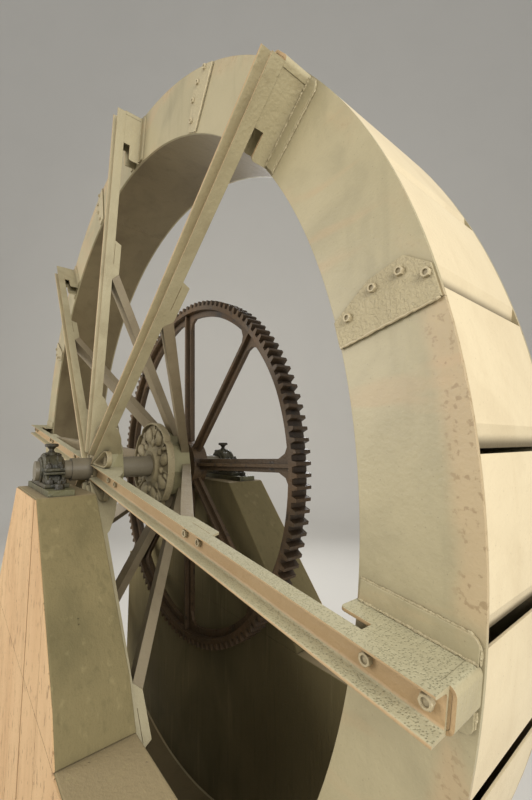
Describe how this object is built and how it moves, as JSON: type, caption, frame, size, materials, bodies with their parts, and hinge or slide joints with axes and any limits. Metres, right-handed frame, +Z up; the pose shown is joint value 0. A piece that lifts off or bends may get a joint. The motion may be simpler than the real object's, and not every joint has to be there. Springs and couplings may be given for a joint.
{
  "type": "steel water wheel with gear on concrete piers",
  "caption": "Indoor mill water wheel: steel bucket rim on channel arms and braces, cast gear, one axle in bearings on two battered concrete piers.",
  "frame": {"origin": "on the pit floor, midway between the two piers, under the axle", "axes": "+Z up, +Y along the axle away from the viewer's side of the wheel, +X across the wheel"},
  "size_m": [4, 1.278, 4.15],
  "materials": {
    "concrete": "board-marked concrete",
    "bearing_iron": "old green paint, oily",
    "dark_iron": "worn paint",
    "gear_iron": "dark, greasy",
    "shaft_steel": "grey paint",
    "hub_iron": "grey paint",
    "bucket_steel": "cream-grey paint",
    "wheel_steel": "green-grey paint"
  },
  "bodies": {
    "piers": {"near_wall": "concrete", "near_pier": "concrete", "far_wall": "concrete", "far_pier": "concrete", "near_bearing_base": "bearing_iron", "near_bearing_housing": "bearing_iron", "near_bearing_cap": "bearing_iron", "near_grease_cup": "dark_iron", "far_bearing_base": "bearing_iron", "far_bearing_housing": "bearing_iron", "far_bearing_cap": "bearing_iron", "far_grease_cup": "dark_iron"},
    "wheel": {"shaft": "shaft_steel", "near_hub": "hub_iron", "clamp_disc": "hub_iron", "root_box": "wheel_steel", "root_fins": "wheel_steel", "inner_hub": "hub_iron", "drum": "wheel_steel", "arm_1": "wheel_steel", "arm_2": "wheel_steel", "arm_3": "wheel_steel", "arm_4": "wheel_steel", "arm_5": "wheel_steel", "arm_6": "wheel_steel", "arm_7": "wheel_steel", "arm_8": "wheel_steel", "stand_off_brackets": "wheel_steel", "brace_gussets": "wheel_steel", "braces": "wheel_steel", "near_shroud_1": "wheel_steel", "near_shroud_2": "wheel_steel", "near_shroud_3": "wheel_steel", "near_shroud_4": "wheel_steel", "near_shroud_5": "wheel_steel", "near_shroud_6": "wheel_steel", "near_shroud_7": "wheel_steel", "near_shroud_8": "wheel_steel", "lap_plates": "wheel_steel", "far_shroud": "wheel_steel", "sole_plates": "bucket_steel", "bucket_walls": "bucket_steel", "bucket_partitions": "bucket_steel", "gear_rim": "gear_iron", "gear_spider": "gear_iron"}
  },
  "joints": [
    {"name": "axle", "type": "hinge", "parent": "piers", "child": "wheel", "pos_m": [0, 0, 2.15], "axis": [0, 1, 0], "continuous": true}
  ]
}
